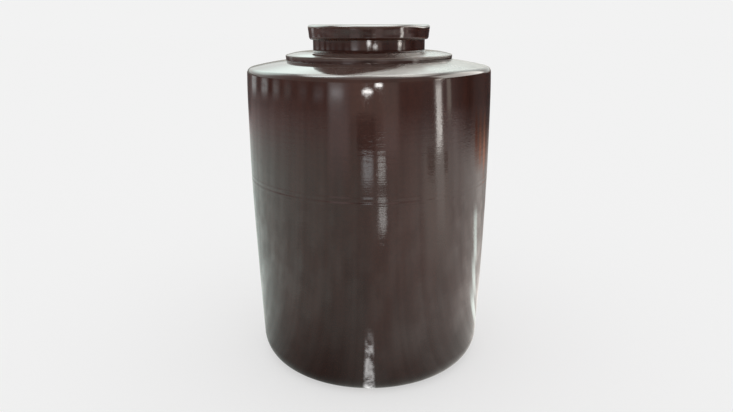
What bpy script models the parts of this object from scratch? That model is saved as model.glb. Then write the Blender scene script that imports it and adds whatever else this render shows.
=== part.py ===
"""Ceramic crock fermenter: a large glazed stoneware jar with a narrow neck, a cap lid on a
sealing ring, and two half-moon pressing weights that hold the ferment under its liquid.

Metres, +Z up. The origin is the centre of the jar's foot, on the floor it stands on, and +Z
is the axis that the jar was thrown about. The jar has no front: the two weights part along
the YZ plane, left at -X and right at +X.
"""
import math

import bmesh
import bpy

STEPS = 60                 # facets round every turned piece
GAP = 0.0003               # clearance between pieces that rest on each other

# ---------------------------------------------------------------- jar dimensions
# wall, outside
WALL = 0.018               # thickness of the thrown wall
BELLY_R = 0.3415           # widest radius, a little below the shoulder
BELLY_Z = 0.745
TAPER = 0.0187             # how much the radius shrinks over TAPER_SPAN below the belly
TAPER_SPAN = 0.700
UPPER_WALL_Z = (0.802, 0.775, BELLY_Z, 0.690, 0.620)   # profile points above the seam
LOWER_WALL_Z = (0.450, 0.360, 0.270, 0.180, 0.110)     # profile points below the seam

# domed shoulder, outside
SHOULDER_R = 0.3400        # where the shoulder turns into the wall
SHOULDER_Z = 0.8220
CROWN_R = 0.2244           # centre of the shoulder's curve
CROWN_Z = 0.8532           # top of the shoulder's curve
CROWN_POW = 0.81           # squareness of the shoulder's curve

# seam where the two thrown halves were luted together
SEAM_Z = 0.5340
SEAM_PITCH = 0.0136        # distance between the seam's two beads
SEAM_H = 0.0009            # how far a bead stands proud
# two beads with a groove between: (offset up in SEAM_PITCH, height proud in SEAM_H)
SEAM_SECTION = ((0.85, 0.0), (0.5, 1.0), (0.0, -0.4), (-0.5, 1.0), (-0.85, 0.0))

# foot ring and hollow base
FOOT_Z = 0.0550            # where the wall starts to round into the foot
FOOT_R = 0.2810            # outer radius of the ring it stands on
FOOT_RING_T = 0.0190       # width of that ring
FOOT_RECESS = 0.0030       # height of the hollow base above the floor
FOOT_RECESS_RUN = 0.0035   # how far the recess slopes inwards as it rises

# step collar round the neck
COLLAR_R = 0.2332
COLLAR_IN_R = 0.1657       # where the collar's fall and bulge begin
COLLAR_TOP_Z = 0.8778      # collar surface at the neck
COLLAR_LIP_Z = 0.8690      # collar surface where its edge starts to round
COLLAR_BULGE = 0.0029      # height of the crowning at mid-width
COLLAR_EDGE_ACROSS = 0.0079
COLLAR_EDGE_DOWN = 0.0071
COLLAR_COVE = 0.0027       # cove where the collar's edge meets the shoulder

# neck and mouth
NECK_R = 0.1567
MOUTH_R = 0.1375
LAND_Z = 0.9280            # flat land the sealing ring lies on
LAND_ROUND = 0.0030
NECK_COVE = 0.0082         # cove between the neck and the collar

# inside
FLOOR_Z = 0.0250
FLOOR_FILLET = 0.0350
INNER_WALL_Z = (0.250, 0.450, 0.640)   # profile points between the fillet and the dome
INNER_DOME_Z = 0.8360
INNER_DOME_R = 0.2100
INNER_DOME_DROP = 0.0450
THROAT_Z = 0.8850

# ---------------------------------------------------------------- ring and lid dimensions
RING_T = 0.0030
RING_OUT_R = 0.1545
RING_EASE = 0.0006

LID_TOP_Z = 0.9500
LID_TOP_LOOP_R = 0.0850    # edge loop on the flat top
LID_RIM_R = 0.1703
LID_EDGE = 0.0065          # rounding of the top edge
LID_FACE_Z = 0.9185        # where the face ends and the lower edge rounds under
LID_UNDER_Z = LAND_Z + RING_T + 2 * GAP
LID_UNDER_LOOP_R = 0.0600  # edge loop on the flat underside

SKIRT_R = 0.1676
SKIRT_Z = 0.9095           # bottom of the skirt
SKIRT_LAND_R = 0.1612      # where the skirt's lower edge ends its rounding
SKIRT_IN_R = NECK_R + 0.0023   # skirt bore, loose round the neck
SKIRT_EASE = 0.0020        # bevel between the bore and the underside

PLUG_R = MOUTH_R - 0.0045  # locating ring, loose inside the mouth
PLUG_WALL = 0.0150
PLUG_IN_R = PLUG_R - PLUG_WALL
PLUG_DEPTH = 0.0160
PLUG_EASE = 0.0030         # bevels of the locating ring

# ---------------------------------------------------------------- weight dimensions
WEIGHT_R = 0.2600
WEIGHT_T = 0.0300
WEIGHT_HALF_GAP = 0.0020   # from the parting plane to each half's straight side
WEIGHT_ROUND = 0.0040
WEIGHT_FACETS = 26         # facets along the half circle
FINGER_R = 0.0150          # two finger holes in each half
FINGER_X = 0.1150
FINGER_Y = 0.0550
FINGER_FACETS = 16


# ---------------------------------------------------------------- scene and materials
def clear_scene():
    for ob in list(bpy.data.objects):
        bpy.data.objects.remove(ob, do_unlink=True)
    for col in list(bpy.data.collections):
        bpy.data.collections.remove(col)


def material(name, colour, roughness, coat=0.0):
    mat = bpy.data.materials.new(name)
    mat.use_nodes = True
    inputs = mat.node_tree.nodes["Principled BSDF"].inputs
    inputs["Base Color"].default_value = (*colour, 1.0)
    inputs["Roughness"].default_value = roughness
    inputs["Coat Weight"].default_value = coat
    mat.diffuse_color = (*colour, 1.0)
    return mat


def jar_glaze():
    return material("brown_glaze_jar", colour=(0.055, 0.034, 0.029), roughness=0.16, coat=0.5)


def lid_glaze():
    return material("brown_glaze_lid", colour=(0.058, 0.038, 0.032), roughness=0.18, coat=0.5)


def ring_silicone():
    return material("sealing_ring_silicone", colour=(0.72, 0.68, 0.60), roughness=0.45)


def weight_glaze(side_name):
    return material("weight_glaze_" + side_name, colour=(0.105, 0.060, 0.040),
                    roughness=0.30, coat=0.2)


# ---------------------------------------------------------------- profiles, as (radius, z)
def arc(centre_r, centre_z, across, up, start, end, count):
    """Points on an ellipse with semi-axes across and up, from start to end degrees."""
    points = []
    for i in range(count + 1):
        angle = math.radians(start + (end - start) * i / count)
        points.append((centre_r + across * math.cos(angle), centre_z + up * math.sin(angle)))
    return points


def wall_radius(z):
    """Outer radius of the thrown wall: widest at the belly, easing in both ways."""
    if z >= BELLY_Z:
        rise = (z - BELLY_Z) / (SHOULDER_Z - BELLY_Z)
        return BELLY_R - (BELLY_R - SHOULDER_R) * rise * rise
    fall = (BELLY_Z - z) / TAPER_SPAN
    return BELLY_R - TAPER * fall * fall


def jar_inside():
    """From the middle of the floor, up the wall and under the shoulder to the throat."""
    fillet_z = FLOOR_Z + FLOOR_FILLET
    points = [(0.0, FLOOR_Z)]
    points += arc(wall_radius(fillet_z) - WALL - FLOOR_FILLET, fillet_z,
                  FLOOR_FILLET, FLOOR_FILLET, -90, 0, count=4)
    points += [(wall_radius(z) - WALL, z) for z in INNER_WALL_Z]
    dome_z = INNER_DOME_Z - INNER_DOME_DROP
    points += arc(INNER_DOME_R, dome_z, wall_radius(dome_z) - WALL - INNER_DOME_R,
                  INNER_DOME_DROP, 0, 90, count=5)
    points += arc(INNER_DOME_R, THROAT_Z, INNER_DOME_R - MOUTH_R, THROAT_Z - INNER_DOME_Z,
                  -90, -180, count=4)[1:]
    return points


def mouth_and_neck():
    """Over the land with its two rounded edges, then down the neck into its cove."""
    round_z = LAND_Z - LAND_ROUND
    points = arc(MOUTH_R + LAND_ROUND, round_z, LAND_ROUND, LAND_ROUND, 180, 90, count=2)
    points += arc(NECK_R - LAND_ROUND, round_z, LAND_ROUND, LAND_ROUND, 90, 0, count=2)
    points += arc(NECK_R + NECK_COVE, COLLAR_TOP_Z + NECK_COVE, NECK_COVE, NECK_COVE,
                  180, 270, count=3)
    return points


def collar_outside(count=5):
    """The collar's slightly crowned top, beyond the neck's cove, and its rounded edge."""
    start_r = NECK_R + NECK_COVE
    edge_r = COLLAR_R - COLLAR_EDGE_ACROSS
    points = []
    for i in range(1, count + 1):
        radius = start_r + (edge_r - start_r) * i / count
        part = (radius - COLLAR_IN_R) / (edge_r - COLLAR_IN_R)
        z = (COLLAR_TOP_Z + (COLLAR_LIP_Z - COLLAR_TOP_Z) * part
             + COLLAR_BULGE * 4 * part * (1 - part))
        points.append((radius, z))
    points += arc(edge_r, COLLAR_LIP_Z - COLLAR_EDGE_DOWN,
                  COLLAR_EDGE_ACROSS, COLLAR_EDGE_DOWN, 90, 0, count=3)[1:]
    return points


def shoulder_outside(count=8):
    """The cove under the collar, then the domed shoulder out and down to the wall."""
    cove_r = COLLAR_R + COLLAR_COVE
    span = SHOULDER_R - CROWN_R
    drop = CROWN_Z - SHOULDER_Z
    first = math.asin((cove_r - CROWN_R) / span)
    dome = []
    for i in range(count + 1):
        angle = first + (math.pi / 2 - first) * i / count
        level = max(math.cos(angle), 0.0)    # rounding may leave the last cosine below zero
        dome.append((CROWN_R + span * math.sin(angle), CROWN_Z - drop * (1 - level ** CROWN_POW)))
    cove = arc(cove_r, dome[0][1] + COLLAR_COVE, COLLAR_COVE, COLLAR_COVE, 180, 270, count=2)
    return cove[:-1] + dome


def wall_outside():
    """The wall from shoulder to foot, with the luting seam part-way down."""
    points = [(wall_radius(z), z) for z in UPPER_WALL_Z]
    for offset, proud in SEAM_SECTION:
        z = SEAM_Z + offset * SEAM_PITCH
        points.append((wall_radius(z) + proud * SEAM_H, z))
    points += [(wall_radius(z), z) for z in LOWER_WALL_Z]
    return points


def foot():
    """The wall rounding into the foot ring, and the hollow base in to the axis."""
    ring_in_r = FOOT_R - FOOT_RING_T
    points = arc(FOOT_R, FOOT_Z, wall_radius(FOOT_Z) - FOOT_R, FOOT_Z, 0, -90, count=4)
    points += [(ring_in_r, 0.0), (ring_in_r - FOOT_RECESS_RUN, FOOT_RECESS), (0.0, FOOT_RECESS)]
    return points


def jar_profile():
    """Ends on the axis both ways: up the inside, over the mouth and down the outside."""
    return (jar_inside() + mouth_and_neck() + collar_outside() + shoulder_outside()
            + wall_outside() + foot())


def lid_profile():
    """Cap lid: flat top, rounded edge, tapering face, skirt over the neck, locating ring."""
    edge_z = LID_TOP_Z - LID_EDGE
    plug_z = LID_UNDER_Z - PLUG_DEPTH
    points = [(0.0, LID_TOP_Z), (LID_TOP_LOOP_R, LID_TOP_Z)]
    points += arc(LID_RIM_R - LID_EDGE, edge_z, LID_EDGE, LID_EDGE, 90, 0, count=3)
    points.append(((LID_RIM_R + SKIRT_R) / 2, (edge_z + LID_FACE_Z) / 2))
    points += arc(SKIRT_LAND_R, LID_FACE_Z, SKIRT_R - SKIRT_LAND_R, LID_FACE_Z - SKIRT_Z,
                  0, -90, count=3)
    # skirt bore
    points += [
        (SKIRT_IN_R, SKIRT_Z),
        (SKIRT_IN_R, LID_UNDER_Z - SKIRT_EASE),
        (SKIRT_IN_R - SKIRT_EASE, LID_UNDER_Z),
    ]
    # locating ring and underside
    points += [
        (PLUG_R, LID_UNDER_Z),
        (PLUG_R, plug_z + PLUG_EASE),
        (PLUG_R - PLUG_EASE, plug_z),
        (PLUG_IN_R + PLUG_EASE, plug_z),
        (PLUG_IN_R, plug_z + PLUG_EASE),
        (PLUG_IN_R, LID_UNDER_Z - PLUG_EASE),
        (PLUG_IN_R - PLUG_EASE, LID_UNDER_Z),
        (LID_UNDER_LOOP_R, LID_UNDER_Z),
        (0.0, LID_UNDER_Z),
    ]
    return points


def ring_profile():
    """Flat sealing ring with eased edges, to be closed on itself."""
    low = LAND_Z + GAP
    high = low + RING_T
    inner = PLUG_R + GAP
    return [
        (inner, high - RING_EASE), (inner + RING_EASE, high),
        (RING_OUT_R - RING_EASE, high), (RING_OUT_R, high - RING_EASE),
        (RING_OUT_R, low + RING_EASE), (RING_OUT_R - RING_EASE, low),
        (inner + RING_EASE, low), (inner, low + RING_EASE),
    ]


# ---------------------------------------------------------------- builders
def add_object(mesh, location, mat, collection, parent):
    mesh.materials.append(mat)
    ob = bpy.data.objects.new(mesh.name, mesh)
    collection.objects.link(ob)
    ob.location = location
    ob.parent = parent
    return ob


def turned(name, profile, base_z, mat, collection, parent, closed=False):
    """A turned solid with its origin at base_z: a Screw modifier sweeps the profile about Z."""
    count = len(profile)
    edges = [(i, i + 1) for i in range(count - 1)]
    if closed:
        edges.append((count - 1, 0))
    mesh = bpy.data.meshes.new(name)
    mesh.from_pydata([(radius, 0.0, z - base_z) for radius, z in profile], edges, [])
    mesh.update()
    ob = add_object(mesh, (0, 0, base_z), mat, collection, parent)
    screw = ob.modifiers.new("Turn", "SCREW")
    screw.axis = "Z"
    screw.angle = math.radians(360)
    screw.screw_offset = 0.0
    screw.steps = STEPS
    screw.render_steps = STEPS
    screw.use_merge_vertices = True
    screw.merge_threshold = 0.00005
    screw.use_smooth_shade = True


def weight_loops():
    """Outlines in XY of the half at +X: the half disc, then its finger holes."""
    half_angle = math.acos(WEIGHT_HALF_GAP / WEIGHT_R)
    sweep = math.degrees(half_angle)
    loops = [arc(0.0, 0.0, WEIGHT_R, WEIGHT_R, -sweep, sweep, count=WEIGHT_FACETS)]
    for y in (-FINGER_Y, FINGER_Y):
        circle = arc(FINGER_X, y, FINGER_R, FINGER_R, 0, 360, count=FINGER_FACETS)
        loops.append(circle[:-1])
    return loops


def weight_mesh(name, side, origin_x, collection):
    """A filled, extruded 2D curve turned into a clean mesh."""
    curve = bpy.data.curves.new(name + "_outline", "CURVE")
    curve.dimensions = "2D"
    curve.fill_mode = "BOTH"
    curve.extrude = WEIGHT_T / 2
    for loop in weight_loops():
        spline = curve.splines.new("POLY")
        spline.points.add(len(loop) - 1)
        for point, (x, y) in zip(spline.points, loop):
            point.co = (side * x - origin_x, y, 0.0, 1.0)
        spline.use_cyclic_u = True

    temp = bpy.data.objects.new(name + "_curve", curve)
    collection.objects.link(temp)
    bpy.context.view_layer.update()
    depsgraph = bpy.context.evaluated_depsgraph_get()
    mesh = bpy.data.meshes.new_from_object(temp.evaluated_get(depsgraph))
    mesh.name = name
    bpy.data.objects.remove(temp, do_unlink=True)

    # join the fill to the sides and merge its triangles into flat faces
    bm = bmesh.new()
    bm.from_mesh(mesh)
    bmesh.ops.remove_doubles(bm, verts=bm.verts, dist=0.00002)
    bmesh.ops.dissolve_limit(bm, angle_limit=math.radians(1), verts=bm.verts, edges=bm.edges)
    bmesh.ops.recalc_face_normals(bm, faces=bm.faces)
    bm.to_mesh(mesh)
    bm.free()
    return mesh


def half_moon(name, side, mat, collection, parent):
    """One pressing weight; side is -1 for the half at -X and +1 for the half at +X.

    Its origin is at mid-thickness, half the weight's radius out from the jar's axis.
    """
    origin_x = side * WEIGHT_R / 2
    mesh = weight_mesh(name, side, origin_x, collection)
    location = (origin_x, 0.0, FLOOR_Z + GAP + WEIGHT_T / 2)
    ob = add_object(mesh, location, mat, collection, parent)
    bevel = ob.modifiers.new("Edges", "BEVEL")
    bevel.width = WEIGHT_ROUND
    bevel.segments = 2
    bevel.limit_method = "ANGLE"
    bevel.angle_limit = math.radians(40)
    mesh.shade_smooth()
    mesh.set_sharp_from_angle(angle=math.radians(35))


def build():
    clear_scene()
    collection = bpy.data.collections.new("ceramic_crock_fermenter")
    bpy.context.scene.collection.children.link(collection)
    frame = bpy.data.objects.new("crock_frame", None)
    frame.empty_display_size = 0.1
    collection.objects.link(frame)

    turned("crock_body", jar_profile(), 0.0, jar_glaze(), collection, frame)
    turned("lid", lid_profile(), LAND_Z, lid_glaze(), collection, frame)
    turned("lid_seal_ring", ring_profile(), LAND_Z, ring_silicone(), collection, frame,
           closed=True)
    for side_name, side in (("left", -1), ("right", 1)):
        half_moon("weight_" + side_name, side, weight_glaze(side_name), collection, frame)


build()
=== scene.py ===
"""A glazed stoneware crock with its lid, sealing ring and two half-moon weights.

Metres, +Z up. The jar is turned about Z and stands on z = 0. The front, where the camera is,
faces -Y, and +X is at the camera's right. A 'turn' or azimuth is in degrees from the front
towards the right, while phi is in radians from +X towards +Y.
"""
import math

import bmesh
import bpy
import numpy as np
from mathutils import Matrix, Vector


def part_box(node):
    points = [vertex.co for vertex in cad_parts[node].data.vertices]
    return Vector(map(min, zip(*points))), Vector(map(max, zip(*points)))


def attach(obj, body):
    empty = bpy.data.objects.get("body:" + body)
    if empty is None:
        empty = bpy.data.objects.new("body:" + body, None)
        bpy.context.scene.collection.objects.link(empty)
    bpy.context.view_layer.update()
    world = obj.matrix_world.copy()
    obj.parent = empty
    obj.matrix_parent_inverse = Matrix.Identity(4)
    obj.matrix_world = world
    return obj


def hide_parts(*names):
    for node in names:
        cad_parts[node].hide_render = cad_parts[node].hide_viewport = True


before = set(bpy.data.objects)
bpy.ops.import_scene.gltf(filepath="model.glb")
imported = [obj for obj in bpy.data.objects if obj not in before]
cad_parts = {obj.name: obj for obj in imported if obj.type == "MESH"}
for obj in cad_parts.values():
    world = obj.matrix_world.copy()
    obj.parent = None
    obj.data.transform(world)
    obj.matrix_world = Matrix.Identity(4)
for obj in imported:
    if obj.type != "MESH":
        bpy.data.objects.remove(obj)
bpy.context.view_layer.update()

jar_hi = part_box("crock_body")[1]
lid_lo, lid_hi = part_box("lid")
ring_lo, ring_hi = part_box("lid_seal_ring")

TAU = 2 * math.pi

# ------------------------------------------------------------------ sizes of the jar
BELLY_R = jar_hi.x
BELLY_Z = 0.745
LAND_Z = jar_hi.z               # the flat top of the neck, under the sealing ring
WALL = 0.018
TAPER, TAPER_SPAN = 0.0187, 0.700               # loss of radius over this height below the belly
SHOULDER_R, SHOULDER_Z = 0.3400, 0.8220
SLOPE_TOP, SLOPE_LOW = 0.1104, 0.2401           # fall of the shoulder at its top and at its edge
SHOULDER_ROUND = 0.0160
SEAM_Z, SEAM_PITCH = 0.5340, 0.0136             # middle of the seam, distance of its two beads
FOOT_Z, FOOT_R, FOOT_IN_R, FOOT_RECESS = 0.0550, 0.2810, 0.2620, 0.0030
COLLAR_R, COLLAR_TOP_Z, COLLAR_LIP_Z = 0.2332, 0.8778, 0.8690
COLLAR_IN_R, COLLAR_BULGE = 0.1657, 0.0029
COLLAR_EDGE_R, COLLAR_EDGE_Z = 0.0028, 0.0025   # rounding of the collar's edge
COLLAR_COVE, COLLAR_UNDERCUT = 0.0003, 0.0010
NECK_R, MOUTH_R, LAND_ROUND, NECK_COVE = 0.1567, 0.1375, 0.0030, 0.0040
NECK_MID_Z = 0.8960
FLOOR_Z, FLOOR_FILLET = 0.0250, 0.0350
INNER_DOME_Z, INNER_DOME_R, INNER_DOME_DROP, THROAT_Z = 0.8360, 0.2100, 0.0450, 0.8850

# ------------------------------------------------------------------ sizes of the lid and weights
LID_TOP_Z = lid_hi.z
LID_RIM_R = lid_hi.x
LID_SKIRT_Z = lid_lo.z
LID_SKIRT_R, LID_EDGE, LID_FACE_Z = 0.1676, 0.0065, 0.9185
LID_SKIRT_LAND_R, LID_SKIRT_IN_R = 0.1612, 0.1590
PLUG_R, PLUG_IN_R, PLUG_DEPTH = 0.1330, 0.1180, 0.0160
RING_T = ring_hi.z - ring_lo.z
LID_UNDER_Z = LAND_Z + RING_T + 2 * (ring_lo.z - LAND_Z)    # the same gap below and above the ring
PLUG_Z = LID_UNDER_Z - PLUG_DEPTH

RING_ROUND = 0.0009
RING_LINE = 0.00012             # height of the moulding line round the ring
GROOVE_RADII = (0.148, 0.1405)
# across a groove of the ring: distance from its middle, depth
GROOVE = ((0.0012, 0), (0.0006, 0.00035), (0, 0.00045), (-0.0006, 0.00035), (-0.0012, 0))

HOLE_X, HOLE_R = 0.115, 0.015   # finger holes of a weight
HOLE_YS = (-0.055, 0.055)


# ------------------------------------------------------------------ small maths
def arc(centre, radii, start, end, steps):
    """Points (radius, height) on an ellipse from one angle to another, in degrees."""
    angles = np.radians(np.linspace(start, end, steps + 1))
    return [(centre[0] + radii[0] * math.cos(angle), centre[1] + radii[1] * math.sin(angle))
            for angle in angles]


def line(start, end, step):
    length = math.hypot(end[0] - start[0], end[1] - start[1])
    steps = max(1, int(math.ceil(length / step)))
    return [(start[0] + (end[0] - start[0]) * i / steps, start[1] + (end[1] - start[1]) * i / steps)
            for i in range(steps + 1)]


def without_doubles(points):
    """Drops the doubled points where the runs of an outline meet."""
    kept = [points[0]]
    for point in points[1:]:
        if math.hypot(point[0] - kept[-1][0], point[1] - kept[-1][1]) > 2e-5:
            kept.append(point)
    return kept


def smooth(value, low, high):
    """Rises softly from 0 at low to 1 at high."""
    part = np.clip((np.asarray(value, float) - low) / (high - low), 0, 1)
    return part * part * (3 - 2 * part)


def fade(value, low, high):
    return 1 - smooth(value, low, high)


def bell(value, centre, width):
    return np.exp(-((value - centre) / width) ** 2)


def ripple(along, pitch, phase=0.0):
    return np.sin(TAU * along / pitch + phase)


def waves(along, phi, seed, count, most_turns, lengths):
    """Smooth noise of about -1..1 on a turned surface: it meets itself after one turn."""
    rng = np.random.RandomState(seed)
    short, long = lengths
    total = np.zeros(np.broadcast(along, phi).shape)
    for _ in range(count):
        turns = rng.randint(0, most_turns + 1)
        length = short * (long / short) ** rng.rand()
        total += np.cos(turns * phi + TAU * along / length * rng.choice([-1, 1]) + rng.rand() * TAU)
    return total / math.sqrt(count * 0.5) / 2.2


def wall_radius(z):
    if z >= BELLY_Z:
        part = (z - BELLY_Z) / (SHOULDER_Z - BELLY_Z)
        return BELLY_R - (BELLY_R - SHOULDER_R) * part * part
    part = (BELLY_Z - z) / TAPER_SPAN
    return BELLY_R - TAPER * part * part


# ------------------------------------------------------------------ meshes
def link(name, data):
    piece = bpy.data.objects.new(name, data)
    bpy.context.scene.collection.objects.link(piece)
    return piece


def vertex_vectors(mesh, key="co"):
    values = np.zeros(len(mesh.vertices) * 3, np.float32)
    mesh.vertices.foreach_get(key, values)
    return values.reshape(-1, 3).astype(float)


def move_vertices(mesh, places):
    mesh.vertices.foreach_set("co", places.astype(np.float32).ravel())
    mesh.update()


def set_attributes(piece, **attributes):
    for name, values in attributes.items():
        attribute = piece.data.attributes.new(name, "FLOAT", "POINT")
        attribute.data.foreach_set("value", np.asarray(values, np.float32))


def polar(places):
    """Radius, phi in radians and turn in degrees of each vertex."""
    x, y = places[:, 0], places[:, 1]
    return np.hypot(x, y), np.arctan2(y, x), np.degrees(np.arctan2(x, -y))


def outline_frames(outline, closed):
    """Position, outward normal and curvature at each point, the curvature over about 2 mm."""
    points = np.array(outline, float)
    if closed:
        before, after = np.roll(points, 1, 0), np.roll(points, -1, 0)
    else:
        before = np.vstack([points[:1], points[:-1]])
        after = np.vstack([points[1:], points[-1:]])
    tangent = after - before
    tangent /= np.maximum(np.linalg.norm(tangent, axis=1), 1e-12)[:, None]
    normals = np.stack([-tangent[:, 1], tangent[:, 0]], 1)
    lengths = np.linalg.norm(np.diff(points, axis=0), axis=1)
    along = np.concatenate([[0], np.cumsum(lengths)])
    angle = -np.unwrap(np.arctan2(tangent[:, 1], tangent[:, 0]))
    reach = 0.0011
    change = np.interp(along + reach, along, angle) - np.interp(along - reach, along, angle)
    return points, normals, change / (2 * reach)


def turned(name, outline, columns, closed=False, lift=None, edge_range=(70, 230)):
    """A closed mesh swept about Z.

    The outline runs up the inside and down the outside. lift(points, normals, phi) gives each
    vertex's displacement along its normal. The attribute 'edge' is 1 on tight convex edges: it
    rises over edge_range, in curvature per metre.
    """
    points, normals, curvature = outline_frames(outline, closed)
    rows = len(points)
    phi = np.arange(columns) * TAU / columns
    offset = lift(points, normals, phi) if lift else np.zeros((rows, columns))
    radius = points[:, 0:1] + normals[:, 0:1] * offset
    height = points[:, 1:2] + normals[:, 1:2] * offset
    on_axis = points[:, 0] < 1e-9
    edge = smooth(np.where(on_axis, 0, curvature), *edge_range)
    for _ in range(3):
        edge = np.maximum(edge, 0.5 * (np.roll(edge, 1) + np.roll(edge, -1)) * 0.92)

    # a row on the axis is a single vertex
    first, vertices, edges = [], [], []
    count = 0
    for i in range(rows):
        first.append(count)
        if on_axis[i]:
            row = np.array([[0.0, 0.0, height[i].mean()]])
        else:
            row = np.stack([radius[i] * np.cos(phi), radius[i] * np.sin(phi), height[i]], 1)
        vertices.append(row)
        edges.append(np.full(len(row), edge[i]))
        count += len(row)

    here = np.arange(columns)
    beside = (here + 1) % columns
    corners, sizes = [], []
    for i in range(rows if closed else rows - 1):
        following = (i + 1) % rows
        this, other = first[i], first[following]
        if on_axis[i] and on_axis[following]:
            continue
        if on_axis[i]:
            face = [np.full(columns, this), other + here, other + beside]
        elif on_axis[following]:
            face = [this + here, np.full(columns, other), this + beside]
        else:
            face = [this + here, other + here, other + beside, this + beside]
        corners.append(np.stack(face, 1).ravel())
        sizes.append(np.full(columns, len(face)))
    mesh = mesh_from_arrays(name, np.vstack(vertices), np.concatenate(corners), np.concatenate(sizes))
    piece = link(name, mesh)
    set_attributes(piece, edge=np.concatenate(edges))
    return piece


def mesh_from_arrays(name, vertices, corners, sizes):
    """A smooth mesh from vertices, the faces' corners in one row, and each face's corner count."""
    mesh = bpy.data.meshes.new(name)
    mesh.vertices.add(len(vertices))
    mesh.vertices.foreach_set("co", vertices.astype(np.float32).ravel())
    mesh.loops.add(len(corners))
    mesh.loops.foreach_set("vertex_index", corners.astype(np.int32))
    mesh.polygons.add(len(sizes))
    starts = np.concatenate([[0], np.cumsum(sizes)[:-1]]).astype(np.int32)
    mesh.polygons.foreach_set("loop_start", starts)
    mesh.update(calc_edges=True)
    mesh.validate()
    mesh.shade_smooth()
    return mesh


# ------------------------------------------------------------------ the jar
def jar_cavity():
    """From the middle of the floor, up the inside to the top of the throat."""
    fillet_z = FLOOR_Z + FLOOR_FILLET
    fillet_r = wall_radius(fillet_z) - WALL - FLOOR_FILLET
    dome_z = INNER_DOME_Z - INNER_DOME_DROP
    dome_width = wall_radius(dome_z) - WALL - INNER_DOME_R
    wall_heights = np.arange(fillet_z + 0.010, dome_z - 0.004, 0.0098)
    throat = (INNER_DOME_R - MOUTH_R, THROAT_Z - INNER_DOME_Z)
    return [
        (0.0, FLOOR_Z),
        *line((0.006, FLOOR_Z), (fillet_r, FLOOR_Z), step=0.0115),
        *arc((fillet_r, fillet_z), (FLOOR_FILLET, FLOOR_FILLET), -90, 0, steps=8),
        *[(wall_radius(z) - WALL, z) for z in wall_heights],
        *arc((INNER_DOME_R, dome_z), (dome_width, INNER_DOME_DROP), 0, 90, steps=16),
        *arc((INNER_DOME_R, THROAT_Z), throat, -90, -180, steps=12),
        *line((MOUTH_R, THROAT_Z), (MOUTH_R, LAND_Z - LAND_ROUND), step=0.006),
    ]


def collar_z(radius):
    """Height of the collar's bulging top."""
    part = max((radius - COLLAR_IN_R) / (COLLAR_R - COLLAR_EDGE_R - COLLAR_IN_R), 0.0)
    straight = COLLAR_TOP_Z + (COLLAR_LIP_Z - COLLAR_TOP_Z) * part
    return straight + COLLAR_BULGE * 4 * part * (1 - part)


def jar_neck_and_collar():
    """Over the land, down the neck, through its cove and out over the collar's edge."""
    round_z = LAND_Z - LAND_ROUND
    rounding = (LAND_ROUND, LAND_ROUND)
    cove_r = NECK_R + NECK_COVE
    cove_z = collar_z(cove_r) + NECK_COVE
    edge_r = COLLAR_R - COLLAR_EDGE_R
    edge_z = COLLAR_LIP_Z - COLLAR_EDGE_Z
    return [
        *arc((MOUTH_R + LAND_ROUND, round_z), rounding, 180, 90, steps=5),
        *line((MOUTH_R + LAND_ROUND, LAND_Z), (NECK_R - LAND_ROUND, LAND_Z), step=0.0034),
        *arc((NECK_R - LAND_ROUND, round_z), rounding, 90, 0, steps=5),
        *line((NECK_R, round_z), (NECK_R, cove_z), step=0.0021),
        *arc((cove_r, cove_z), (NECK_COVE, NECK_COVE), 180, 270, steps=9),
        *[(radius, collar_z(radius)) for radius in np.linspace(cove_r, edge_r, 22)[1:]],
        *arc((edge_r, edge_z), (COLLAR_EDGE_R, COLLAR_EDGE_Z), 90, 4, steps=9)[1:],
    ]


def jar_shoulder():
    """Under the collar's edge by a hair, then a steepening cone with a rounded edge."""
    start = math.atan(SLOPE_LOW)
    end = math.radians(88)
    round_r = SHOULDER_R - SHOULDER_ROUND * (math.sin(end) - math.sin(start))
    round_z = SHOULDER_Z + SHOULDER_ROUND * (math.cos(start) - math.cos(end))
    base_r = COLLAR_R - COLLAR_UNDERCUT + COLLAR_COVE
    run = round_r - base_r
    base_z = round_z + run * (SLOPE_TOP + SLOPE_LOW) / 2
    points = line((COLLAR_R, COLLAR_LIP_Z - COLLAR_EDGE_Z - 0.0006),
                  (COLLAR_R - COLLAR_UNDERCUT, base_z + COLLAR_COVE + 0.0004), step=0.0018)
    points += arc((base_r, base_z + COLLAR_COVE), (COLLAR_COVE, COLLAR_COVE), 180, 266, steps=4)
    for i in range(1, 27):
        part = i / 26
        fall = SLOPE_TOP + (SLOPE_LOW - SLOPE_TOP) * part / 2
        points.append((base_r + run * part, base_z - run * part * fall))
    for i in range(1, 21):
        angle = start + (end - start) * i / 20
        points.append((round_r + SHOULDER_ROUND * (math.sin(angle) - math.sin(start)),
                       round_z - SHOULDER_ROUND * (math.cos(start) - math.cos(angle))))
    return points


def jar_wall_and_foot():
    """Down the wall, round the foot and in across the hollow base."""
    toe_z = 0.0012
    return [
        *[(wall_radius(z), z) for z in np.arange(SHOULDER_Z - 0.0014, FOOT_Z, -0.0019)],
        *arc((FOOT_R, FOOT_Z), (wall_radius(FOOT_Z) - FOOT_R, FOOT_Z), 0, -84, steps=28),
        *arc((FOOT_R - 0.0006, toe_z), (0.0030, toe_z), -40, -90, steps=3),
        *line((FOOT_R - 0.0030, 0.0), (FOOT_IN_R + 0.0015, 0.0), step=0.0045),
        *arc((FOOT_IN_R + 0.0010, toe_z), (0.0012, toe_z), -90, -150, steps=2),
        (FOOT_IN_R - 0.0015, FOOT_RECESS - 0.0008),
        (FOOT_IN_R - 0.0035, FOOT_RECESS),
        *line((FOOT_IN_R - 0.008, FOOT_RECESS), (0.006, FOOT_RECESS), step=0.017),
        (0.0, FOOT_RECESS),
    ]


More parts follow.
